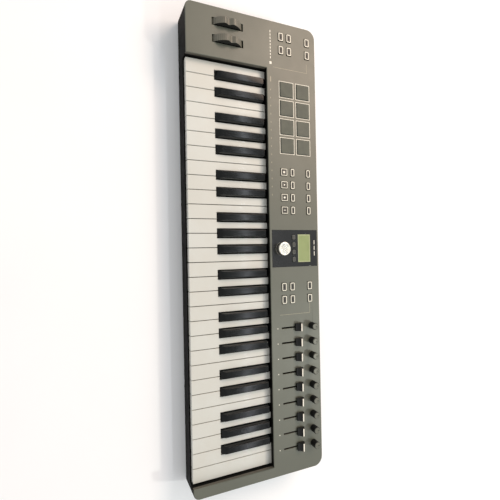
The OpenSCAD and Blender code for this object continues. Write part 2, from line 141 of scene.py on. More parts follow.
def solids(node: str) -> list[Box]:
    """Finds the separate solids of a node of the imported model.

    Args:
        node: the node's name.

    Returns:
        One box for each solid, sorted from bass to treble and then from front to back.
    """
    mesh = bmesh.new()
    mesh.from_mesh(frame["nodes"][node].data)
    bmesh.ops.remove_doubles(mesh, verts=mesh.verts, dist=1e-6)
    left = set(mesh.verts)
    found = []
    while left:
        search = [left.pop()]
        island = list(search)
        while search:
            near = search.pop()
            for edge in near.link_edges:
                other = edge.other_vert(near)
                if other in left:
                    left.remove(other)
                    island.append(other)
                    search.append(other)
        places = [v.co / MM for v in island]
        found.append(Box(Vector(map(min, *places)), Vector(map(max, *places))))
    mesh.free()
    return sorted(found, key=lambda b: (round(b.middle.x, 1), round(b.middle.y, 1)))


# ---- tests that pick faces and edges ----


def level(middle: Vector | None = None, least: float = 0.9, way: int = 0, above: float = -math.inf) -> Test:
    """Makes a test for level faces.

    Args:
        middle: keeps only the faces that lie on this spot of the plan.
        least: the least z of the normal.
        way: 1 for faces that look up, -1 for down and 0 for both.
        above: keeps only the faces above this height.

    Returns:
        A test of a face's middle and normal.
    """
    def test(at: Vector, n: Vector) -> bool:
        """True for a face that is kept."""
        z = n.z * way if way else abs(n.z)
        return z > least and at.z > above and (middle is None or (at - middle).xy.length < NEAR)

    return test


up = partial(level, way=1)
down = partial(level, way=-1)


def upright(least: float = 0.1) -> Test:
    """Makes a test for edges that rise by more than a length."""
    return lambda a, b: abs(a.z - b.z) > least


def over(height: float) -> Test:
    """Makes a test for edges that lie wholly above a height."""
    return lambda a, b: min(a.z, b.z) > height


# ---- modelling by hand ----


def pick_only(*pieces: Piece) -> None:
    """Selects these pieces and nothing else, the last one active."""
    for each in bpy.context.view_layer.objects:
        each.select_set(False)
    for each in pieces:
        each.select_set(True)
        bpy.context.view_layer.objects.active = each


@contextmanager
def editing(piece: Piece, mode: str = "FACE") -> Iterator[None]:
    """Opens a piece in edit mode with nothing selected.

    Args:
        piece: the piece to open.
        mode: VERT, EDGE or FACE.
    """
    pick_only(piece)
    bpy.ops.object.mode_set(mode="EDIT")
    bpy.ops.mesh.select_mode(type=mode)
    bpy.ops.mesh.select_all(action="DESELECT")
    yield
    bpy.ops.object.mode_set(mode="OBJECT")


def pick_faces(piece: Piece, test: Test) -> None:
    """Selects faces in edit mode.

    Args:
        piece: the piece that is open.
        test: reads a face's middle and normal.
    """
    mesh = bmesh.from_edit_mesh(piece.data)
    for face in mesh.faces:
        face.select_set(test(face.calc_center_median() / MM, face.normal))
    mesh.select_flush_mode()
    bmesh.update_edit_mesh(piece.data)


def pick_edges(piece: Piece, test: Test, sharp: float) -> int:
    """Selects sharp edges in edit mode.

    Args:
        piece: the piece that is open.
        test: reads the edge's two ends.
        sharp: the least angle between the edge's faces, in degrees.

    Returns:
        How many edges are selected.
    """
    mesh = bmesh.from_edit_mesh(piece.data)
    least = math.radians(sharp)
    for edge in mesh.edges:
        corner = len(edge.link_faces) == 2 and edge.calc_face_angle(0.0) > least
        edge.select_set(corner and test(edge.verts[0].co / MM, edge.verts[1].co / MM))
    bmesh.update_edit_mesh(piece.data)
    return sum(edge.select for edge in mesh.edges)


def bevel(piece: Piece, width: float, test: Test = over(-math.inf), segments: int = 2,
          sharp: float = 25.0) -> None:
    """Rounds the sharp edges of a piece.

    Args:
        piece: the piece to round.
        width: how wide the rounding is.
        test: keeps the edges whose two ends pass it; without one, every sharp edge.
        segments: faces across the rounding.
        sharp: the least angle of an edge that is rounded, in degrees.
    """
    with editing(piece, "EDGE"):
        if pick_edges(piece, test, sharp):
            bpy.ops.mesh.bevel(offset=width * MM, segments=segments, profile=0.5, affect="EDGES",
                               clamp_overlap=False, loop_slide=True)


def smooth(piece: Piece) -> Piece:
    """Shades a piece smooth across its shallow edges, with its broad faces kept flat.

    Args:
        piece: the piece to shade.

    Returns:
        The same piece.
    """
    pick_only(piece)
    bpy.ops.object.shade_smooth_by_angle(angle=FACET_ANGLE)
    weights = piece.modifiers.new("weights", "WEIGHTED_NORMAL")
    weights.keep_sharp = True
    weights.weight = 100
    bpy.ops.object.modifier_apply(modifier=weights.name)
    return piece


def rename(piece: Piece, name: str) -> Piece:
    """Names a piece and its mesh."""
    piece.name = piece.data.name = name
    return piece


def settle_place(name: str) -> Piece:
    """Names the primitive that was just added and puts its place and size into its mesh.

    Args:
        name: its name.

    Returns:
        The piece, at the origin.
    """
    piece = rename(bpy.context.object, name)
    pick_only(piece)
    bpy.ops.object.transform_apply(location=True, rotation=True, scale=True)
    return piece


def block(name: str, box: Box) -> Piece:
    """Adds a cube primitive that fills a box.

    Args:
        name: the new piece's name.
        box: what it fills.

    Returns:
        The piece.
    """
    pick_only()
    bpy.ops.mesh.primitive_cube_add(size=1, location=box.middle * MM)
    bpy.context.object.scale = box.size * MM
    return settle_place(name)


def drum(name: str, centre: Vector, radius: float, length: float, sides: int = 48) -> Piece:
    """Adds a cylinder primitive that stands along z.

    Args:
        name: the new piece's name.
        centre: its middle.
        radius: its radius.
        length: its height.
        sides: faces around it.

    Returns:
        The piece.
    """
    pick_only()
    bpy.ops.mesh.primitive_cylinder_add(vertices=sides, radius=radius * MM, depth=length * MM,
                                        location=centre * MM)
    return settle_place(name)


def join(name: str, pieces: list[Piece]) -> Piece:
    """Joins pieces.

    Args:
        name: the name of the whole.
        pieces: what it is made of.

    Returns:
        The last piece, with the others in it.
    """
    pick_only(*pieces)
    if len(pieces) > 1:
        bpy.ops.object.join()
    return rename(bpy.context.view_layer.objects.active, name)


def copy_to(piece: Piece, name: str, shift: Vector) -> Piece:
    """Copies a piece, with a mesh of its own.

    Args:
        piece: what is copied.
        name: the copy's name.
        shift: how far from the piece the copy lies.

    Returns:
        The copy.
    """
    copied = bpy.data.objects.new(name, piece.data.copy())
    copied.data.transform(Matrix.Translation(shift * MM))
    bpy.context.scene.collection.objects.link(copied)
    return rename(copied, name)


def copy_of_node(node: str) -> Piece:
    """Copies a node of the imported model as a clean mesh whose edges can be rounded.

    Args:
        node: the node's name.

    Returns:
        The copy, with no material.
    """
    copied = bpy.data.objects.new(node + "_body", frame["nodes"][node].data.copy())
    bpy.context.scene.collection.objects.link(copied)
    copied.data.materials.clear()
    with editing(copied, "VERT"):
        bpy.ops.mesh.select_all(action="SELECT")
        bpy.ops.mesh.remove_doubles(threshold=2e-6)
        bpy.ops.mesh.dissolve_limited(angle_limit=math.radians(0.5))
    return copied


def extrude(piece: Piece, test: Test, rise: float) -> None:
    """Extrudes the faces that pass a test upwards, or downwards where the rise is negative."""
    with editing(piece):
        pick_faces(piece, test)
        bpy.ops.mesh.extrude_region_move(TRANSFORM_OT_translate={"value": (0, 0, rise * MM)})


def inset(piece: Piece, test: Test, width: float, depth: float = 0.0, each: bool = False) -> None:
    """Insets faces.

    Args:
        piece: the piece.
        test: picks the faces.
        width: the width of the strip left around them.
        depth: how far what is inside sinks; less than zero raises it.
        each: insets every face by itself.
    """
    with editing(piece):
        pick_faces(piece, test)
        bpy.ops.mesh.inset(thickness=width * MM, depth=-depth * MM, use_even_offset=True, use_individual=each)


def tube(name: str, box: Box, wall: float) -> Piece:
    """Makes a square tube along z: a block with a tunnel through it.

    Args:
        name: the new piece's name.
        box: what the tube fills.
        wall: how thick its walls are.

    Returns:
        The piece.
    """
    piece = block(name, box)
    inset(piece, level(), wall)
    with editing(piece):
        pick_faces(piece, level(box.middle))
        bpy.ops.mesh.delete(type="FACE")
    with editing(piece, "EDGE"):
        mesh = bmesh.from_edit_mesh(piece.data)
        for edge in mesh.edges:
            edge.select_set(edge.is_boundary)
        bmesh.update_edit_mesh(piece.data)
        bpy.ops.mesh.bridge_edge_loops()
        bpy.ops.mesh.select_all(action="SELECT")
        bpy.ops.mesh.normals_make_consistent(inside=False)
    return piece


def cut(piece: Piece, place_on: Vector, normal: Vector) -> None:
    """Cuts an edge all around a piece where a plane meets it."""
    with editing(piece):
        bpy.ops.mesh.select_all(action="SELECT")
        bpy.ops.mesh.bisect(plane_co=place_on * MM, plane_no=normal)


def place(piece: Piece, body: str, slot: str, node: str | None = None) -> Piece:
    """Hangs a finished piece on the body that it moves with, and hides the node that it stands for.

    Args:
        piece: the finished piece.
        body: what it moves with.
        slot: the finish that it takes; not used.
        node: the node that it stands for, if any.

    Returns:
        The same piece.
    """
    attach(piece, body)
    if node:
        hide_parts(node)
    return piece


# ---- finishes ----


def add_node(tree: Tree, kind: str, values: dict | None = None, links: dict | None = None,
             **settings: object) -> bpy.types.Node:
    """Adds a shader node.

    Args:
        tree: the node tree.
        kind: the node's type, without the word that all of them start with.
        values: input name or number to constant value.
        links: input name or number to the output socket that feeds it.
        settings: the node's own properties.

    Returns:
        The new node.
    """
    node = tree.nodes.new("ShaderNode" + kind)
    for name, value in settings.items():
        setattr(node, name, value)
    for name, value in (values or {}).items():
        node.inputs[name].default_value = value
    for name, source in (links or {}).items():
        tree.links.new(source, node.inputs[name])
    return node


def math_node(tree: Tree, operation: str, first: Socket, second: Socket | float = 0.0) -> Socket:
    """Adds a Math node, with its result kept between 0 and 1 where it adds.

    Args:
        tree: the node tree.
        operation: what it works out.
        first: its first input.
        second: its second input, a constant or another output.

    Returns:
        The result.
    """
    node = add_node(tree, "Math", links={0: first}, operation=operation, use_clamp=operation == "ADD")
    if isinstance(second, float):
        node.inputs[1].default_value = second
    else:
        tree.links.new(second, node.inputs[1])
    return node.outputs[0]


def here(tree: Tree) -> Socket:
    """The object coordinates, which the first node of every tree gives."""
    return tree.nodes[0].outputs["Object"]


def noise(tree: Tree, size_mm: float, detail: float, place_on: Socket | None = None) -> Socket:
    """A noise whose blotches measure size_mm, over the object coordinates or others made from them."""
    return add_node(tree, "TexNoise", {"Scale": 1 / (size_mm * MM), "Detail": detail},
                    {"Vector": place_on or here(tree)}).outputs["Fac"]


def bump(tree: Tree, height: Socket, relief_mm: float) -> Socket:
    """Turns a height between 0 and 1 into a normal, for a relief as deep as relief_mm."""
    return add_node(tree, "Bump", {"Strength": 0.6, "Distance": relief_mm * MM},
                    {"Height": height}).outputs[0]


def dress(node: str, finish: "Finish", body: str, slot: str, *rims: tuple) -> Piece:
    """Carries a node over with clean faces, eased edges and its finish.

    Args:
        node: the node.
        finish: its finish.
        body: what it moves with.
        slot: the name of a finish slot, handed on to place.
        rims: for each rounding, what bevel wants after the piece.

    Returns:
        The piece.
    """
    piece = copy_of_node(node)
    for rim in rims:
        bevel(piece, *rim)
    return place(finish.on(smooth(piece)), body, slot, node)


class Grain(Enum):
    """How a surface was made, which decides the relief that it carries."""

    ERODED = "spark-eroded mould"
    POLISHED = "polished mould"
    DRAWN = "drawn or brushed along x"
    PLAIN = "no relief"


@dataclass(frozen=True)
class Finish:
    """One finish: a real material and how its surface was made.

    Sizes are real sizes in millimetres. Colours are sRGB hex values.
    """

    name: str
    base: str
    tint: str
    roughness: float
    grain_mm: float
    relief_mm: float
    mottle_mm: float
    scuff: float
    grain: Grain = Grain.ERODED
    ior: float = 1.5
    metallic: float = 0.0
    coat: float = 0.0
    sheen: float = 0.0
    anisotropic: float = 0.0
    # Emission strength: a faint painted glow, with no lamp behind the surface.
    glow: float = 0.0

    def on(self, piece: Piece, test: Test | None = None) -> Piece:
        """Gives this finish to a piece, or to some of its faces.

        Args:
            piece: the piece.
            test: picks the faces by their middle and normal; without one, all of them.

        Returns:
            The same piece.
        """
        material = self.material()
        slots = [m.name for m in piece.data.materials]
        if material.name not in slots:
            piece.data.materials.append(material)
            slots.append(material.name)
        for face in piece.data.polygons:
            if test is None or test(face.center / MM, face.normal):
                face.material_index = slots.index(material.name)
        return piece

    def material(self) -> bpy.types.Material:
        """Makes the material once and hands out the same one afterwards.

        Returns:
            The material.
        """
        made = bpy.data.materials.get(self.name)
        if made:
            return made
        made = bpy.data.materials.new(self.name)
        made.use_nodes = True
        made.diffuse_color = linear(self.base)
        self.build(made.node_tree)
        return made

    def build(self, tree: Tree) -> None:
        """Lays the nodes: colour, roughness and relief into one Principled shader."""
        tree.nodes.clear()
        add_node(tree, "TexCoord")
        shader = add_node(tree, "BsdfPrincipled", {
            "Metallic": self.metallic, "IOR": self.ior, "Coat Weight": self.coat, "Coat Roughness": 0.08,
            "Sheen Weight": self.sheen, "Anisotropic": self.anisotropic,
            "Emission Strength": self.glow, "Emission Color": linear(self.base)})
        tree.links.new(self.colour(tree), shader.inputs["Base Color"])
        tree.links.new(self.rough(tree), shader.inputs["Roughness"])
        relief = self.relief(tree)
        if relief:
            tree.links.new(relief, shader.inputs["Normal"])
        add_node(tree, "OutputMaterial", links={"Surface": shader.outputs["BSDF"]})


    def colour(self, tree: Tree) -> Socket:
        """The base colour, drifting softly towards the tint.

        Args:
            tree: the node tree.

        Returns:
            The colour.
        """
        drift = add_node(tree, "MapRange", {"From Min": 0.35, "From Max": 0.65},
                         {"Value": noise(tree, self.mottle_mm, 5.0)})
        fleck = add_node(tree, "MapRange", {"From Min": 0.3, "From Max": 0.8, "To Max": 0.35},
                         {"Value": noise(tree, max(self.grain_mm * 2, 0.6), 2.0)})
        return add_node(tree, "Mix", {COLOUR_A: linear(self.base), COLOUR_B: linear(self.tint)},
                        {0: math_node(tree, "ADD", drift.outputs[0], fleck.outputs[0])},
                        data_type="RGBA").outputs[COLOUR_OUT]

    def rough(self, tree: Tree) -> Socket:
        """Roughness with faint handling marks.

        Args:
            tree: the node tree.

        Returns:
            The roughness.
        """
        return add_node(tree, "MapRange", {
            "From Min": 0.3, "From Max": 0.7, "To Min": max(self.roughness - self.scuff, 0.02),
            "To Max": min(self.roughness + self.scuff, 1.0)},
            {"Value": noise(tree, MARK_MM, 6.0)}).outputs[0]

    def relief(self, tree: Tree) -> Socket | None:
        """The small relief of the surface.

        Args:
            tree: the node tree.

        Returns:
            The normal, or nothing for a plain surface.
        """
        if self.grain is Grain.PLAIN:
            return None
        if self.grain is Grain.ERODED:
            height = add_node(tree, "TexVoronoi", {"Scale": 1 / (self.grain_mm * MM)}, {"Vector": here(tree)},
                              feature="SMOOTH_F1").outputs["Distance"]
        elif self.grain is Grain.DRAWN:
            stretched = add_node(tree, "Mapping", {"Scale": (0.04, 1.0, 1.0)},
                                 {"Vector": here(tree)}).outputs[0]
            height = noise(tree, self.grain_mm, 4.0, stretched)
        else:
            height = noise(tree, self.grain_mm, 2.0)
        return bump(tree, height, self.relief_mm)


@dataclass(frozen=True)
class TurnedMetal(Finish):
    """Metal turned on a lathe: rings around an axis along z, and a highlight that they spread into spokes."""

    axis: tuple[float, float] = (0.0, 0.0)

    def at(self, middle: Vector) -> "TurnedMetal":
        """The same finish around another axis."""
        return replace(self, axis=(middle.x, middle.y))

    def build(self, tree: Tree) -> None:
        """Adds the tangent, which runs along the tool marks."""
        super().build(tree)
        shader = next(n for n in tree.nodes if n.type == "BSDF_PRINCIPLED")
        along = add_node(tree, "VectorMath", {1: (0.0, 0.0, 1.0)}, {0: self.arm(tree)},
                         operation="CROSS_PRODUCT")
        tree.links.new(along.outputs[0], shader.inputs["Tangent"])

    def arm(self, tree: Tree) -> Socket:
        """The arm from the axis to the point.

        Args:
            tree: the node tree.

        Returns:
            A level vector.
        """
        moved = add_node(tree, "VectorMath", {1: (-self.axis[0] * MM, -self.axis[1] * MM, 0.0)},
                         {0: here(tree)}, operation="ADD")
        return add_node(tree, "VectorMath", {1: (1.0, 1.0, 0.0)}, {0: moved.outputs[0]},
                        operation="MULTIPLY").outputs[0]

    def relief(self, tree: Tree) -> Socket:
        """Fine rings.

        Args:
            tree: the node tree.

        Returns:
            The normal.
        """
        reach = add_node(tree, "VectorMath", links={0: self.arm(tree)}, operation="LENGTH")
        rings = add_node(tree, "TexNoise", {"Scale": 1 / (self.grain_mm * MM), "Detail": 2.0},
                         {"W": reach.outputs["Value"]}, noise_dimensions="1D")
        return bump(tree, rings.outputs[0], self.relief_mm)


@dataclass(frozen=True)
class DisplayFilm(Finish):
    """The reflective film of a character display, with its rows and columns of pixels."""

    pixel_mm: float = 0.55
    line_share: float = 0.16
    strength: float = 0.22
    line_colour: str = "9aa577"

    def colour(self, tree: Tree) -> Socket:
        """The film's own drift of colour under a fine grid.

        Args:
            tree: the node tree.

        Returns:
            The colour.
        """
        ground = super().colour(tree)
        split = add_node(tree, "SeparateXYZ", links={0: here(tree)})
        lines = []
        for axis in ("X", "Y"):
            phase = math_node(tree, "MULTIPLY", split.outputs[axis], 1 / (self.pixel_mm * MM))
            lines.append(math_node(tree, "LESS_THAN", math_node(tree, "FRACT", phase), self.line_share))
        faint = math_node(tree, "MULTIPLY", math_node(tree, "MAXIMUM", *lines), self.strength)
        return add_node(tree, "Mix", {COLOUR_B: linear(self.line_colour)}, {0: faint, COLOUR_A: ground},
                        data_type="RGBA").outputs[COLOUR_OUT]


@dataclass(frozen=True)
class SolderMask(Finish):
    """Green solder mask over copper tracks."""

    track_mm: float = 2.4
    track_share: float = 0.1
    track_colour: str = "3f8a5a"

    def colour(self, tree: Tree) -> Socket:
        """The mask, paler where copper runs under it.

        Args:
            tree: the node tree.

        Returns:
            The colour.
        """
        ground = super().colour(tree)
        cells = add_node(tree, "TexVoronoi", {"Scale": 1 / (self.track_mm * MM), "Randomness": 0.35},
                         {"Vector": here(tree)}, feature="DISTANCE_TO_EDGE", distance="EUCLIDEAN")
        copper = math_node(tree, "LESS_THAN", cells.outputs["Distance"], self.track_share)
        return add_node(tree, "Mix", {COLOUR_B: linear(self.track_colour)}, {0: copper, COLOUR_A: ground},
                        data_type="RGBA").outputs[COLOUR_OUT]


# Each finish: name, colour, the tint that it drifts to and roughness; then the size of its grain, how deep
# the grain is, the size of its mottling and how far handling changes its roughness.

# ABS sprayed with a satin soft-feel paint: warm grey, a very fine orange peel, a broad soft highlight.
PANEL_PAINT = Finish("satin_paint_on_abs", "53554a", "585a4f", 0.44, 0.5, 0.004, 90.0, 0.02, ior=1.6)
# The same ABS on the panel's walls, given a browner, darker colour than the painted face as painted shade,
# and duller.
SHADED_WALL_PAINT = Finish("bare_wall_abs", "48443a", "504b41", 0.5, 0.5, 0.008, 60.0, 0.05)
# ABS from a spark-eroded mould: dark, matt, with a fine even grit. On the panel's low walls the same finish
# is painted shadow.
SHELL_ABS_AND_SHADOW = Finish("eroded_dark_abs", "0c0c0b", "11100f", 0.6, 0.4, 0.015, 50.0, 0.06, ior=1.14)
# ABS from a polished mould: milky white, glossy, with a slow waviness where the wall shrank.
IVORY_ABS = Finish("polished_white_abs", "cacbc6", "c6c5be", 0.36, 6.0, 0.012, 70.0, 0.06, Grain.POLISHED,
                   coat=0.1)
# ABS from a polished mould, buffed by fingers: black with long soft highlights.
EBONY_ABS = Finish("buffed_black_abs", "07090a", "0c0f10", 0.13, 4.0, 0.008, 25.0, 0.03, Grain.POLISHED,
                   ior=1.3)
# Silicone rubber: dark olive grey, matt, a powdery sheen, slightly sticky so it holds dust.
PAD_SILICONE = Finish("silicone_rubber", "50524a", "57594f", 0.62, 0.7, 0.02, 12.0, 0.08,
                      sheen=0.15, ior=1.42)
# Painted ABS caps: darker than the panel, satin.
BUTTON_ABS = Finish("painted_button_abs", "35342f", "3b3a34", 0.45, 0.4, 0.008, 10.0, 0.05)
# Silicone keys beside the display: mid grey, dull.
SOFT_KEY = Finish("silicone_key", "545757", "5c5f5f", 0.55, 0.4, 0.006, 6.0, 0.05)
# Dark pad-printing ink: the flat, nearly black marks on the caps.
DARK_INK = Finish("dark_pad_print_ink", "121311", "181916", 0.55, 0.3, 0.0, 4.0, 0.03, Grain.PLAIN)
# Frosted polycarbonate light guide: milky, with a faint painted glow that brightens it, though no lamp lights
# it.
LIGHT_GUIDE = Finish("frosted_polycarbonate", "d9d5c6", "e2decf", 0.4, 1.0, 0.004, 8.0, 0.04, Grain.POLISHED,
                     ior=1.58, glow=0.06)
# Cast acrylic, back-printed black: glossy, softened by faint wiping marks.
DISPLAY_ACRYLIC = Finish("gloss_black_acrylic", "191b1d", "1e2022", 0.16, 14.0, 0.0, 30.0, 0.01, Grain.PLAIN,
                         ior=1.49)
# Twisted-nematic display film: yellow-green, satin, with a pixel grid.
LCD_FILM = DisplayFilm("display_film", "7d8a58", "86925f", 0.3, 0.4, 0.0, 18.0, 0.04, Grain.PLAIN, coat=0.3)
# White-printed rim of the display's glass: paler than the film, with the same gloss.
LCD_BORDER = Finish("display_border", "9aa177", "a3a981", 0.3, 0.4, 0.0, 10.0, 0.03, Grain.PLAIN, coat=0.3)
# Matt studio paper: the pale, even floor that the part stands on.
FLOOR_PAPER = Finish("studio_paper", "f4f5f8", "f1f2f5", 0.8, 0.4, 0.0, 400.0, 0.02, Grain.PLAIN)
# Moulded thermoplastic elastomer on the wheels' treads: grey and dull, slightly polished on top.
WHEEL_RUBBER = Finish("moulded_elastomer", "5c5a50", "656257", 0.34, 0.5, 0.006, 9.0, 0.05)
# Gloss ABS on the wheels' sides: black, with small sharp highlights.
WHEEL_SIDE = Finish("gloss_black_abs", "0c0c0c", "121212", 0.22, 3.0, 0.004, 20.0, 0.05, Grain.POLISHED)
# Turned aluminium: concentric tool marks that spread the highlight into spokes.
TURNED_ALUMINIUM = TurnedMetal("turned_aluminium", "e4e2d9", "d6d4cb", 0.28, 0.3, 0.003, 6.0, 0.06,
                               Grain.PLAIN, metallic=1.0, anisotropic=0.6)
# Soft-touch rubber coat on the knobs: near black, very even.
KNOB_RUBBER = Finish("soft_touch_rubber", "0d0e0e", "131414", 0.55, 0.3, 0.008, 6.0, 0.06, ior=1.38)
# ABS disc pressed into each knob: the panel's grey, a little glossier.
KNOB_DISC = Finish("pale_grey_abs", "53544a", "5b5b50", 0.36, 0.3, 0.005, 8.0, 0.05)
# Moulded ABS of the fader caps: satin black.
CAP_ABS = Finish("satin_black_abs", "0a0b0b", "101111", 0.42, 0.35, 0.008, 8.0, 0.06, ior=1.38)
# Two-part pad-printing ink: opaque warm white, a touch raised.
PRINT_INK = Finish("pad_print_ink", "e6e2d6", "dcd7ca", 0.5, 0.3, 0.0, 5.0, 0.03, Grain.PLAIN)
# The same ink screened thinly over the paint, so that it stays close to the panel's own colour.
FAINT_INK = Finish("screened_ink", "a49e8a", "9c9682", 0.5, 0.3, 0.0, 5.0, 0.03, Grain.PLAIN)
# Bright cold-drawn steel: silvery, with marks along its length.
BRIGHT_STEEL = Finish("drawn_steel", "b7b9bb", "a9abad", 0.3, 0.3, 0.004, 12.0, 0.08, Grain.DRAWN,
                      metallic=1.0)
# Tinned steel of the slide and rotary bodies: pale grey with a frosty grain.
TINNED_STEEL = Finish("tinned_steel", "a3a5a6", "939596", 0.38, 0.8, 0.004, 9.0, 0.1, metallic=1.0)
# Zinc screws with a black passivated skin: dark metal, unevenly dull.
BLACK_ZINC = Finish("black_zinc", "3a3b3e", "46474a", 0.42, 0.4, 0.006, 4.0, 0.08, metallic=0.9)
# Nickel plate on socket shells and nuts: warm, bright and finely brushed.
NICKEL = Finish("nickel_plate", "c9c7c0", "bcbab2", 0.22, 0.3, 0.003, 6.0, 0.06, Grain.DRAWN, metallic=1.0)
# Glass-filled nylon of the sockets: black, with a coarse dull grain. In the fader slots the same finish is
# painted shade.
SOCKET_NYLON_AND_SHADE = Finish("glass_filled_nylon", "161616", "202020", 0.6, 0.5, 0.015, 5.0, 0.08)
# Glass-filled ABS of the chassis and the wheel bracket: dark grey, with fibres near the surface.
CHASSIS_ABS = Finish("glass_filled_abs", "3b3b39", "454542", 0.6, 0.8, 0.03, 20.0, 0.08)
# Glass-epoxy board under solder mask: glossy green over paler tracks.
BOARD_MASK = SolderMask("solder_mask", "1f5a38", "246540", 0.32, 1.2, 0.01, 14.0, 0.06, Grain.POLISHED)
# Liquid silicone of the contact strip: pale grey and dull.
STRIP_SILICONE = Finish("liquid_silicone", "8d8d88", "989893", 0.55, 0.6, 0.01, 9.0, 0.06)
# Nitrile rubber of the feet: black, dull, a little bloom.
FOOT_RUBBER = Finish("nitrile_rubber", "1a1a1a", "262626", 0.78, 0.6, 0.03, 6.0, 0.1)


# ---- layout ----


@dataclass(frozen=True)
class Layout:
    """The few places that several assemblies share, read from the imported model."""

    case: Box
    panel_top: float
    plate_low: float
    key_top: float
    keys_front: float
    wall_y: float
    origin_x: float

    @classmethod
    def read(cls, plate: float = 3.0, key_room: float = 138.0, step: float = 0.45) -> "Layout":
        """Reads the frame.

        Args:
            plate: how thick the panel is.
            key_room: from the front of the keys to the wall behind them.
            step: how far beside the lowest white key the places on the panel are counted from.

        Returns:
            The layout.
        """
        panel, lowest = Box.of("top_panel"), Box.of("keys_c")
        return cls(case=panel, panel_top=panel.high.z, plate_low=panel.high.z - plate, key_top=lowest.high.z,
                   keys_front=lowest.low.y, wall_y=lowest.low.y + key_room, origin_x=lowest.low.x - step)

    def spot(self, x: float, y: float) -> tuple[float, float]:
        """Turns a place counted from the lowest white key's front bass corner into the row frame."""
        return self.origin_x + x, self.keys_front + y


# ---- case ----


@dataclass
class Case:
    """Both shells, the feet and the screws."""

    plan: Layout
    rim: float = 1.3
    # The painted shade on the panel's walls starts this far below the rim.
    wall_shade_drop: float = 0.1
    opening_rim: float = 1.1
    hole_rim: float = 0.3
    corner: float = 17.0
    # Under this height the panel's walls are painted near black as painted shadow.
    painted_shade_top: float = 52.5
    rail_rim: float = 0.45
    base_rim: float = 1.6
    base_from: float = 4.0
    base_to: float = 6.0
    foot_ring: float = 2.2
    foot_groove: float = 1.2
    foot_sink: float = 0.5
    foot_rim: float = 0.7
    screw_rim: float = 0.25
    screw_reach: float = 3.2

    def on_outline(self, a: Vector, b: Vector) -> bool:
        """True when both ends are on the outline of the case, its rounded corners included.

        Args:
            a: one end of an edge.
            b: the other end.

        Returns:
            Whether the edge is on the outline.
        """
        low, high = self.plan.case.low, self.plan.case.high
        for at in (a, b):
            across, along = min(at.x - low.x, high.x - at.x), min(at.y - low.y, high.y - at.y)
            if min(across, along) >= SAME and max(across, along) >= self.corner:
                return False
        return True

    def panel(self) -> Piece:
        """The panel with its rim, the key opening and every hole eased, and painted shade on its walls.

        Returns:
            The piece.
        """
        piece = copy_of_node("top_panel")
        raised = over(self.plan.panel_top - SAME)
        wheels, wall = Box.of("wheel_bracket"), self.plan.wall_y

        def opening(a: Vector, b: Vector) -> bool:
            """True around the keys, but not around the wheels."""
            beside_wheels = wheels.low.x - 1 < a.x < wheels.high.x + 1 and a.y > self.plan.keys_front + 5
            return (raised(a, b) and not self.on_outline(a, b) and max(a.y, b.y) < wall + SAME
                    and not beside_wheels)

        bevel(piece, self.rim, lambda a, b: raised(a, b) and self.on_outline(a, b), 3)
        bevel(piece, self.opening_rim, opening, 3)
        bevel(piece, self.hole_rim, lambda a, b: raised(a, b) and not self.on_outline(a, a)
              and not self.on_outline(b, b), 2, sharp=60)
        # Edges are cut where the painted shade on the walls starts and where it turns near black.
        wall_shade_top = self.plan.panel_top - self.rim - self.wall_shade_drop
        for height in (wall_shade_top, self.painted_shade_top):
            cut(piece, Vector((0, 0, height)), Vector((0, 0, 1)))
        PANEL_PAINT.on(smooth(piece))
        # Painted shade: the walls below the rim take a darker brown; lower down, and on the wall behind the
        # keys that faces them, the near-black shell finish paints the shadow in the gap beside the keys.
        SHADED_WALL_PAINT.on(piece, lambda at, n: at.z < wall_shade_top)
        SHELL_ABS_AND_SHADOW.on(piece, lambda at, n: at.z < self.painted_shade_top or at.z < wall_shade_top and at.y < wall + 1
                     and n.y < -0.5)
        return place(piece, "case", "upper_shell", "top_panel")

    def shell(self) -> Piece:
        """The lower shell with its rail and its bottom edge eased.

        Returns:
            The piece.
        """
        box = Box.of("bottom_case")
        low, high = box.low.z + self.base_from, box.low.z + self.base_to

        def base(a: Vector, b: Vector) -> bool:
            """True around the bottom edge."""
            return min(a.z, b.z) > low and max(a.z, b.z) < high and self.on_outline(a, b)

        return dress("bottom_case", SHELL_ABS_AND_SHADOW, "case", "lower_shell",
                     (self.rail_rim, over(box.high.z - SAME)), (self.base_rim, base, 3, 15))

    def feet(self) -> Piece:
        """Round rubber feet with a soft edge and a shallow groove underneath.

        Returns:
            All of them as one piece.
        """
        boxes = solids("rubber_feet")
        middle, radius = boxes[0].middle, boxes[0].size.x / 2
        first = drum("foot_1", middle, radius, boxes[0].size.z)
        inset(first, down(), self.foot_ring)
        inset(first, down(middle), self.foot_groove, self.foot_sink)
        bevel(first, self.foot_rim, lambda a, b: max(a.z, b.z) < SAME and min(
            (a - middle).xy.length, (b - middle).xy.length) > radius - NEAR, 3, sharp=60)
        others = [copy_to(first, f"foot_{n}", box.middle - middle) for n, box in enumerate(boxes[1:], 2)]
        feet = join("rubber_foot_set", [first] + others)
        return place(FOOT_RUBBER.on(smooth(feet)), "case", "foot_rubber", "rubber_feet")

    def screws(self) -> Piece:
        """Cross-head screws, sunk in their holes: the short edges of their heads are eased."""
        return dress("case_screws", BLACK_ZINC, "case", "screw_steel", (
            self.screw_rim, lambda a, b: max(a.z, b.z) < self.screw_reach and (a - b).length < 2, 2, 60))

    def build(self) -> list[Piece]:
        """Builds the case."""
        return [self.panel(), self.shell(), self.feet(), self.screws()]


# ---- keys ----


class Note(Enum):
    """The notes of an octave and the nodes that hold their keys."""

    C = "keys_c"
    D = "keys_d"
    E = "keys_e"
    F = "keys_f"
    G = "keys_g"
    A = "keys_a"
    B = "keys_b"
    C_SHARP = "keys_c_sharp"
    D_SHARP = "keys_d_sharp"
    F_SHARP = "keys_f_sharp"
    G_SHARP = "keys_g_sharp"
    A_SHARP = "keys_a_sharp"


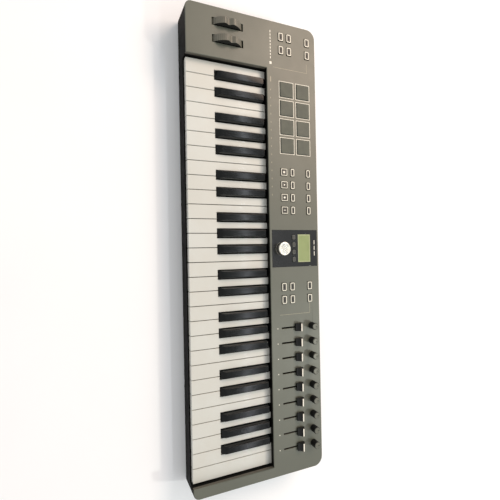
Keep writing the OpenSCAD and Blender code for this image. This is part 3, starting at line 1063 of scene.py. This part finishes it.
@dataclass
class KeyBed:
    """All forty-nine keys, note by note."""

    plan: Layout
    white_rim: float = 0.45
    black_rim: float = 0.9

    def build(self) -> list[Piece]:
        """Builds every note: white keys eased along the top and down the front, black ones all over.

        Returns:
            One piece for each note.
        """
        top, front, foot = self.plan.key_top - SAME, self.plan.keys_front + SAME, self.plan.key_top + NEAR
        white = (self.white_rim, lambda a, b: min(a.z, b.z) > top or max(a.y, b.y) < front, 3, 60)
        black = (self.black_rim, lambda a, b: max(a.z, b.z) > foot, 3)
        return [dress(note.value, EBONY_ABS, note.value, "black_key", black) if note.name.endswith("SHARP")
                else dress(note.value, IVORY_ABS, note.value, "white_key", white) for note in Note]


# ---- wheels ----


@dataclass
class Wheels:
    """The pitch and modulation wheels, and the dark wells that they turn in."""

    plan: Layout
    rim: float = 0.6
    well_width: float = 14.1
    well_reach: float = 33.6
    well_depth: float = 26.0
    well_wall: float = 0.6
    well_gap: float = 0.05
    well_rim: float = 0.15

    def wheel(self, node: str) -> Piece:
        """One wheel: eased rims, a dull tread between glossy sides.

        Args:
            node: the wheel's node, and its body.

        Returns:
            The piece.
        """
        low, high = Box.of(node).low.x + NEAR / 2, Box.of(node).high.x - NEAR / 2
        piece = dress(node, WHEEL_RUBBER, node, "wheel_plastic", (
            self.rim, lambda a, b: min(a.x, b.x) > high or max(a.x, b.x) < low, 2, 40))
        return WHEEL_SIDE.on(piece, lambda at, n: abs(n.x) > 0.9)

    def well(self, node: str) -> Piece:
        """A dark shaft under the slot of one wheel, open above and below.

        Args:
            node: the wheel's node.

        Returns:
            The piece.
        """
        x, y = Box.of(node).middle.x, Box.of("wheel_bracket").middle.y
        top = self.plan.plate_low - self.well_gap
        box = box_at(x, y, self.well_width, 2 * self.well_reach, top - self.well_depth, top)
        piece = tube(node + "_well", box, self.well_wall)
        bevel(piece, self.well_rim, segments=1)
        return place(WHEEL_SIDE.on(piece), "case", "wheel_plastic")

    def build(self) -> list[Piece]:
        """Builds both wheels and their wells."""
        nodes = ("pitch_wheel", "mod_wheel")
        return [self.wheel(node) for node in nodes] + [self.well(node) for node in nodes]


# ---- controls ----


def repeat(nodes: list[str], make: Callable[[str], Piece], slot: str) -> list[Piece]:
    """Makes the first of several equal pieces and copies it for the others.

    Args:
        nodes: the nodes that the pieces stand for; each is a body too.
        make: makes the first piece, whose name starts with its node's.
        slot: the name of a finish slot, handed on to place.

    Returns:
        The pieces.
    """
    first, start = make(nodes[0]), Box.of(nodes[0]).middle
    ending = first.name.removeprefix(nodes[0])
    pieces = [first] + [copy_to(first, node + ending, Box.of(node).middle - start) for node in nodes[1:]]
    return [place(piece, node, slot, node) for piece, node in zip(pieces, nodes)]


@dataclass
class Pads:
    """Eight drum pads in two rows."""

    rim: float = 1.5
    rim_height: float = 2.0
    corner: float = 1.9
    edge: float = 0.7
    crown: float = 0.12
    crown_width: float = 0.9

    def pad(self, node: str) -> Piece:
        """One pad: a hidden rim, rounded corners, a soft edge and a slightly domed top.

        Args:
            node: the pad's node.

        Returns:
            The piece.
        """
        box = Box.of(node)
        rim_top = box.low.z + self.rim_height
        shoulder = box.high.z - self.crown
        piece = block(node + "_silicone", box.between(box.low.z, rim_top))
        inset(piece, up(), self.rim)
        extrude(piece, up(box.middle), shoulder - rim_top)
        bevel(piece, self.corner, upright(2 * self.rim_height), 5)
        bevel(piece, self.edge, over(shoulder - SAME), 4)
        inset(piece, up(above=shoulder - SAME), self.crown_width, -self.crown)
        return PAD_SILICONE.on(smooth(piece))

    def build(self) -> list[Piece]:
        """Builds the pads."""
        return repeat([f"pad_{n}" for n in range(1, 9)], self.pad, "pad_silicone")


class Glyph(Enum):
    """The plain signs on the transport buttons: two sides as shares of a sign's size, corners if round."""

    STOP = (0.8, 0.8, 0)
    PLAY = (1.0, 1.0, 3)
    RECORD = (0.8, 0.8, 32)
    SKIP = (0.25, 0.9, 0)


class Look(Enum):
    """A cap's corner radius, frame width, frame finish and whether a dark mark is printed on it."""

    OBLONG = (2.0, 1.2, LIGHT_GUIDE, True)
    SQUARE = (1.4, 0.95, LIGHT_GUIDE, False)
    SOFT = (1.2, 0.7, SOFT_KEY, False)


@dataclass
class Buttons:
    """Five groups of small push buttons: a dark cap framed by a pale light guide."""

    edge: float = 0.35
    dip: float = 0.2
    dip_wall: float = 0.04
    glyph_size: float = 4.6
    ink: float = 0.06
    mark: tuple[float, float] = (5.6, 2.2)
    mark_corner: float = 0.5
    sign_corner: float = 0.15
    level_face: float = 0.95

    def cap(self, name: str, box: Box, look: Look) -> Piece:
        """One cap. The frame is a strip of its top around a dipped middle.

        Args:
            name: the piece's name.
            box: the box of the cap.
            look: what kind of cap it is.

        Returns:
            The piece.
        """
        corner, frame_width, frame_finish, printed = look.value
        piece, ground = block(name, box), box.high.z - self.dip
        bevel(piece, corner, upright(1), 4)
        bevel(piece, self.edge, over(box.high.z - SAME), 2)
        inset(piece, up(least=self.level_face), frame_width)
        inset(piece, up(box.middle, self.level_face), self.dip_wall, self.dip)
        BUTTON_ABS.on(smooth(piece))
        frame_finish.on(piece, up(least=self.level_face, above=ground + SAME))
        if not printed:
            return piece
        mark = block(name + "_mark", box_at(box.middle.x, box.middle.y, *self.mark, ground,
                                            ground + self.ink))
        bevel(mark, self.mark_corner, upright(SAME), 2)
        return join(name, [DARK_INK.on(mark), piece])

    def glyph(self, sign: Glyph, box: Box) -> Piece:
        """One printed sign, lying in the dip of its cap.

        Args:
            sign: which sign.
            box: the box of the cap.

        Returns:
            The piece.
        """
        width, depth, sides = sign.value
        name, ground, middle = "sign_" + sign.name.lower(), box.high.z - self.dip, box.middle
        if sides:
            piece = drum(name, Vector((middle.x, middle.y, ground + self.ink / 2)),
                         self.glyph_size * width / 2, self.ink, sides)
        else:
            piece = block(name, box_at(middle.x, middle.y, self.glyph_size * width, self.glyph_size * depth,
                                       ground, ground + self.ink))
        bevel(piece, self.sign_corner, lambda a, b: (a - b).length < 0.1, 2)
        return PRINT_INK.on(piece)

    def group(self, node: str, look: Look) -> Piece:
        """The caps of one node, joined because they are pressed together in the model.

        Args:
            node: the node, and its body.
            look: what kind of caps they are.

        Returns:
            All of them as one piece.
        """
        boxes = solids(node)
        first = self.cap(node + "_caps", boxes[0], look)
        caps = [first] + [copy_to(first, f"{node}_{n}", box.middle - boxes[0].middle)
                          for n, box in enumerate(boxes[1:], 2)]
        if look is Look.SQUARE:
            caps += [self.glyph(sign, box) for sign, box in zip(Glyph, boxes)]
        slot = "soft_button" if look is Look.SOFT else "button_plastic"
        return place(join(node + "_caps", caps), node, slot, node)

    def build(self) -> list[Piece]:
        """Builds every group."""
        looks = {"left": Look.OBLONG, "right": Look.OBLONG, "command": Look.OBLONG, "transport": Look.SQUARE,
                 "display": Look.SOFT}
        return [self.group(place_name + "_buttons", look) for place_name, look in looks.items()]


@dataclass
class Faders:
    """Nine slide faders with a scooped cap and a white line along the ridge."""

    plan: Layout
    edge: float = 0.4
    ridge: float = 8.5
    line_width: float = 2.2

    def fader(self, node: str) -> Piece:
        """One fader: cap and lever in one piece.

        Args:
            node: the fader's node.

        Returns:
            The piece.
        """
        box, piece = Box.of(node), rename(copy_of_node(node), node + "_cap")
        ridge, half = box.low.y + self.ridge, self.line_width / 2
        for y in (ridge - half, ridge + half):
            cut(piece, Vector((0, y, 0)), Vector((0, 1, 0)))
        bevel(piece, self.edge, over(self.plan.panel_top), 2, sharp=50)
        CAP_ABS.on(smooth(piece))
        return PRINT_INK.on(piece, lambda at, n: at.z > box.high.z - NEAR and n.z > 0.5
                            and abs(at.y - ridge) < half)

    def build(self) -> list[Piece]:
        """Builds the faders."""
        return repeat([f"fader_{n}" for n in range(1, 10)], self.fader, "cap_black")


@dataclass
class Knobs:
    """Nine round knobs, each with a disc in its top."""

    edge: float = 0.4
    disc_height: float = 0.8
    dish: float = 0.12
    dish_rim: float = 0.5
    pointer: tuple[float, float] = (0.8, 3.4)
    pointer_out: float = 2.2
    pointer_sink: float = 0.3
    pointer_corner: float = 0.3

    def knob(self, node: str) -> Piece:
        """One knob: a rubbered grip, a disc and a pointer printed on it.

        Args:
            node: the knob's node.

        Returns:
            The piece.
        """
        box, piece = Box.of(node), copy_of_node(node)
        middle, high, grip_top = box.middle, box.high.z, box.high.z - self.disc_height
        bevel(piece, self.edge, lambda a, b: min(a.z, b.z) > grip_top - SAME and abs(a.z - b.z) < SAME, 3,
              sharp=60)
        KNOB_RUBBER.on(smooth(piece))
        KNOB_DISC.on(piece, lambda at, n: at.z > grip_top + SAME)
        inset(piece, up(middle, above=high - SAME), self.dish_rim, self.dish)
        mark = block(node + "_pointer", box_at(middle.x, middle.y + self.pointer_out, *self.pointer,
                                               high - self.pointer_sink, high - SAME))
        bevel(mark, self.pointer_corner, upright(), 3)
        return join(node + "_grip", [CAP_ABS.on(mark), piece])

    def build(self) -> list[Piece]:
        """Builds the knobs."""
        return repeat([f"knob_{n}" for n in range(1, 10)], self.knob, "cap_black")


@dataclass
class EncoderKnob:
    """The encoder's metal knob: a knurled flank, a chamfer and a dished, turned top."""

    teeth: int = 60
    tooth_depth: float = 0.25
    tooth_gap: float = 0.05
    height: float = 11.5
    chamfer: float = 0.9
    rim: float = 0.7
    dish_wall: float = 0.5
    dish: float = 0.35
    shaft_radius: float = 3.0
    flat: float = 0.95

    def build(self) -> list[Piece]:
        """Builds the knob on its shaft.

        Returns:
            One piece.
        """
        box = Box.of("encoder_knob")
        middle, top, low, radius = box.middle, box.high.z, box.high.z - self.height, box.size.x / 2
        piece = drum("encoder_grip", Vector((middle.x, middle.y, (low + top) / 2)), radius, top - low,
                     2 * self.teeth)

        def tooth(at: Vector, n: Vector) -> bool:
            """True for every other strip of the flank."""
            turn = math.degrees(math.atan2(n.y, n.x)) % 360 / (180 / self.teeth)
            return abs(n.z) < 0.1 and int(turn) % 2 == 0 and at.z > low

        inset(piece, down(least=self.flat), radius - self.shaft_radius)
        extrude(piece, down(middle, self.flat), box.low.z - low)
        bevel(piece, self.chamfer, over(top - SAME), 3, sharp=60)
        inset(piece, tooth, self.tooth_gap, self.tooth_depth, each=True)
        inset(piece, up(middle, self.flat), self.rim)
        inset(piece, up(middle, self.flat), self.dish_wall, self.dish)
        TURNED_ALUMINIUM.at(middle).on(smooth(piece))
        return [place(piece, "encoder", "encoder_metal", "encoder_knob")]


# ---- display ----


@dataclass
class Display:
    """The glossy bezel and the film behind its window."""

    edge: float = 0.5
    border: float = 1.7
    step: tuple[float, float] = (0.15, 0.12)
    corner: float = 0.2

    def bezel(self) -> Piece:
        """The bezel with eased edges."""
        return dress("display_bezel", DISPLAY_ACRYLIC, "case", "display_black",
                     (self.edge, over(Box.of("display_bezel").high.z - SAME), 3, 60))

    def film(self) -> Piece:
        """The display module: a pale border around the active field.

        Returns:
            The piece.
        """
        box = Box.of("lcd_window")
        piece = block("lcd_module", box)
        inset(piece, up(), self.border)
        inset(piece, up(box.middle), *self.step)
        bevel(piece, self.corner, upright(1), 2)
        LCD_FILM.on(LCD_BORDER.on(piece), lambda at, n: n.z > 0.9 and at.z < box.high.z - SAME)
        return place(piece, "case", "lcd_film", "lcd_window")

    def build(self) -> list[Piece]:
        """Builds the display."""
        return [self.bezel(), self.film()]


# ---- printing ----


@dataclass
class Printing:
    """Every printed line, dot and frame on the panel, as skins of ink. No words are printed.

    Places are counted as in Layout.spot. A bar is its middle and its two sides. A row is its first bar, how
    many there are and how far apart they stand.
    """

    plan: Layout
    thickness: float = 0.03
    depth: float = 0.3
    corner: float = 0.12
    pad_frame_gap: float = -0.675
    pad_frame: float = 1.0
    frame_corner: float = 0.5
    bezel_row: tuple = ((298.5, 226.4, 7.5, 1.3), 3, 10)
    square: tuple = ((-11, 145.5, 4.6, 4), 1, 0)
    dashes: tuple = ((-65, 145.5, 3.6, 1.5), 9, 5.6)
    fader_dots: tuple = ((446.9, 150, 1.6, 1.6), 9, 26.15)
    left_lines: tuple = (((-4.5, 184, 0.5, 68), 1, 0), ((-12.5, 217.5, 15.4, 0.5), 1, 0))
    right_lines: tuple = (((423.8, 184.8, 0.5, 60.4), 1, 0), ((413.7, 215, 20.2, 0.5), 1, 0))
    key_marks: tuple = (((17, 145, 9, 1.6), 1, 0), ((35.4, 144.3, 2.6, 0.9), 14, 13.9))
    made: list[Piece] = field(default_factory=list)

    def row(self, bar: tuple[float, ...], count: int, step: float, ground: float) -> None:
        """Adds a row of bars with softened ends.

        Args:
            bar: the first bar.
            count: how many bars there are.
            step: how far apart they stand.
            ground: the height of the surface under them.
        """
        x, y, width, depth = bar
        box = box_at(*self.plan.spot(x, y), width, depth, ground - self.depth, ground + self.thickness)
        first = block(f"bar_{len(self.made)}", box)
        bevel(first, min(self.corner, width / 3, depth / 3), upright(), 2)
        self.made += [first] + [copy_to(first, f"{first.name}_{n}", Vector((n * step, 0, 0)))
                                for n in range(1, count)]

    def pad_frames(self) -> None:
        """Adds a thin frame around every pad."""
        top, start = self.plan.panel_top, Box.of("pad_1")
        box = start.grown(self.pad_frame_gap + self.pad_frame).between(top - self.depth, top + self.thickness)
        first = tube("frame_1", box, self.pad_frame)
        bevel(first, self.frame_corner, upright(), 3)
        self.made += [first] + [copy_to(first, f"frame_{n}", Box.of(f"pad_{n}").middle - start.middle)
                                for n in range(2, 9)]

    def skin(self, name: str, ink: Finish) -> Piece:
        """Joins the marks made so far into one skin of one ink.

        Args:
            name: the skin's name.
            ink: its finish.

        Returns:
            The piece.
        """
        skin = ink.on(join(name, self.made))
        self.made = []
        return place(skin, "case", "upper_shell")

    def build(self) -> list[Piece]:
        """Prints everything in a bright and a faint ink.

        Returns:
            Two skins.
        """
        self.pad_frames()
        self.row(*self.bezel_row, Box.of("display_bezel").high.z)
        for row in (self.square, self.dashes, self.fader_dots):
            self.row(*row, self.plan.panel_top)
        bright = self.skin("panel_print", PRINT_INK)
        for row in self.left_lines + self.right_lines + self.key_marks:
            self.row(*row, self.plan.panel_top)
        return [bright, self.skin("panel_lines", FAINT_INK)]


# ---- back and inside ----


@dataclass
class Sockets:
    """The data socket, the round five-pin socket and the two pedal jacks at the back."""

    rim: float = 0.3
    jack_radius: float = 4.6
    jack_reach: float = 6.0
    mouth: float = 3.0
    tongue: float = 0.6

    def build(self) -> list[Piece]:
        """Builds the sockets: nickel at every mouth, nylon behind it.

        Returns:
            One piece.
        """
        boxes = solids("rear_sockets")
        face, usb_end, tongue = boxes[0].high.y, boxes[0].high.x + 1, boxes[0].middle.z
        piece = dress("rear_sockets", SOCKET_NYLON_AND_SHADE, "case", "socket_black", (
            self.rim, lambda a, b: min(a.y, b.y) > face - SAME and a.x > usb_end, 2, 60))
        NICKEL.on(piece, lambda at, n: at.x < usb_end and abs(at.z - tongue) > self.tongue)
        for jack in boxes[2:]:
            middle = jack.middle
            NICKEL.on(piece, lambda at, n: abs(at.x - middle.x) < self.jack_reach and at.y > face - self.mouth
                      and math.hypot(at.x - middle.x, at.z - middle.z) < self.jack_radius)
        return [piece]


@dataclass
class Inside:
    """What is hidden under the keys and the panel. A chip is its place as in Layout.spot and its sides."""

    plan: Layout
    board: float = 1.6
    slot_half: float = 1.5
    bracket_rim: float = 0.4
    chip_step: tuple[float, float] = (0.5, 0.08)
    chip_corner: float = 0.2
    chips: tuple = ((120, 185, 12, 12, 1.6), (250, 200, 7, 5, 1.4), (300, 190, 10, 10, 1.5),
                    (390, 195, 7, 5, 1.4), (150, 205, 4, 8, 2.0), (180, 205, 4, 8, 2.0),
                    (340, 170, 3, 3, 1.2), (350, 205, 6, 4, 1.8))

    def tracks(self) -> Piece:
        """The slide and rotary bodies: tinned cans, painted dark inside the slots as painted shade.

        Returns:
            The piece.
        """
        piece, box = dress("potentiometers", TINNED_STEEL, "case", "pot_steel"), Box.of("potentiometers")
        first = Box.of("fader_1").middle.x
        pitch = Box.of("fader_2").middle.x - first

        def painted_slot_shade(at: Vector, n: Vector) -> bool:
            """True on the walls and the floor of a slot, which are painted dark as painted shade."""
            offset = (at.x - first + pitch / 2) % pitch - pitch / 2
            inner = box.low.z + NEAR < at.z < box.high.z - SAME
            return inner and at.x > first - 2 * self.slot_half and abs(offset) < self.slot_half

        return SOCKET_NYLON_AND_SHADE.on(piece, painted_slot_shade)

    def board_parts(self) -> Piece:
        """Chips and other parts under the control board.

        Returns:
            All of them as one piece.
        """
        under = Box.of("control_board").high.z - self.board
        parts = []
        for number, (x, y, width, depth, height) in enumerate(self.chips):
            part = block(f"chip_{number}", box_at(*self.plan.spot(x, y), width, depth, under - height, under))
            inset(part, down(), *self.chip_step)
            bevel(part, self.chip_corner, upright(NEAR), 2)
            parts.append(part)
        return place(SOCKET_NYLON_AND_SHADE.on(join("board_parts", parts)), "case", "socket_black")

    def build(self) -> list[Piece]:
        """Dresses everything inside.

        Returns:
            The pieces.
        """
        return [dress("keybed_frame", CHASSIS_ABS, "case", "chassis_plastic"),
                dress("wheel_bracket", CHASSIS_ABS, "case", "chassis_plastic",
                      (self.bracket_rim, over(-math.inf), 1, 70)),
                dress("pivot_rod_springs", BRIGHT_STEEL, "case", "spring_steel"),
                dress("contact_strip", STRIP_SILICONE, "case", "silicone"), self.tracks(),
                dress("contact_board", BOARD_MASK, "case", "circuit_board"),
                dress("control_board", BOARD_MASK, "case", "circuit_board"), self.board_parts()]


# ---- studio ----


@dataclass(frozen=True)
class Lamp:
    """A rectangular area light. Lengths are metres and power is watts."""

    name: str
    place: tuple[float, float, float]
    aim: tuple[float, float, float]
    size: tuple[float, float]
    power: float
    colour: str

    def build(self) -> None:
        """Hangs the lamp and aims it."""
        data = bpy.data.lights.new(self.name, "AREA")
        data.shape = "RECTANGLE"
        data.size, data.size_y = self.size
        data.energy, data.color = self.power, linear(self.colour)[:3]
        lamp = bpy.data.objects.new(self.name, data)
        lamp.location = self.place
        lamp.rotation_euler = (Vector(self.aim) - Vector(self.place)).to_track_quat("-Z", "Y").to_euler()
        bpy.context.scene.collection.objects.link(lamp)


@dataclass
class Studio:
    """A pale floor, soft lights and the camera, which stands over the keys with the bass end at the top."""

    floor_size: float = 12.0
    world_colour: str = "fafaf8"
    world_strength: float = 0.8
    camera_place: tuple[float, float, float] = (3.76, -262.14, 624.75)
    camera_turn: tuple[float, float, float] = (0.608, -23.504, 88.829)
    lens: float = 26.64
    film_width: float = 36.0
    lamps: tuple[Lamp, ...] = (
        Lamp("warm_softbox", (-1.0, 1.0, 1.35), (-0.1, 0, 0.05), (1.2, 0.55), 20.0, "ffe0c8"),
        Lamp("window", (0.6, 1.05, 1.3), (0.1, 0, 0.05), (0.12, 0.12), 5.5, "fbfff2"),
        Lamp("strip", (0, 0.5, 1.3), (0, -0.1, 0.05), (2.4, 0.03), 3.0, "f4f8ff"))

    def floor(self) -> None:
        """A plain, pale, matt floor."""
        pick_only()
        bpy.ops.mesh.primitive_plane_add(size=self.floor_size)
        FLOOR_PAPER.on(rename(bpy.context.object, "floor"))

    def world(self) -> None:
        """Even light from all around."""
        world = bpy.data.worlds.new("studio")
        world.use_nodes = True
        sky = world.node_tree.nodes["Background"].inputs
        sky["Color"].default_value = linear(self.world_colour)
        sky["Strength"].default_value = self.world_strength
        bpy.context.scene.world = world
        bpy.context.scene.view_settings.view_transform = "Standard"

    def camera(self) -> None:
        """The camera."""
        data = bpy.data.cameras.new("camera")
        data.lens, data.sensor_width = self.lens, self.film_width
        data.clip_start, data.clip_end = 0.01, 50.0
        camera = bpy.data.objects.new("camera", data)
        camera.location = Vector(self.camera_place) * MM
        camera.rotation_euler = Euler([math.radians(a) for a in self.camera_turn], "XYZ")
        bpy.context.scene.collection.objects.link(camera)
        bpy.context.scene.camera = camera

    def build(self) -> None:
        """Builds the studio."""
        self.floor()
        self.world()
        for lamp in self.lamps:
            lamp.build()
        self.camera()


def main() -> None:
    logging.basicConfig(level=logging.INFO, format="%(name)s: %(message)s", force=True)
    plan = Layout.read()
    for assembly in (Case(plan), KeyBed(plan), Wheels(plan), Pads(), Buttons(), Faders(plan), Knobs(),
                     EncoderKnob(), Display(), Printing(plan), Sockets(), Inside(plan)):
        for piece in assembly.build():
            LOG.info("%s: %s has %d faces", type(assembly).__name__, piece.name, len(piece.data.polygons))
    Studio().build()


if __name__ == "__main__":
    main()
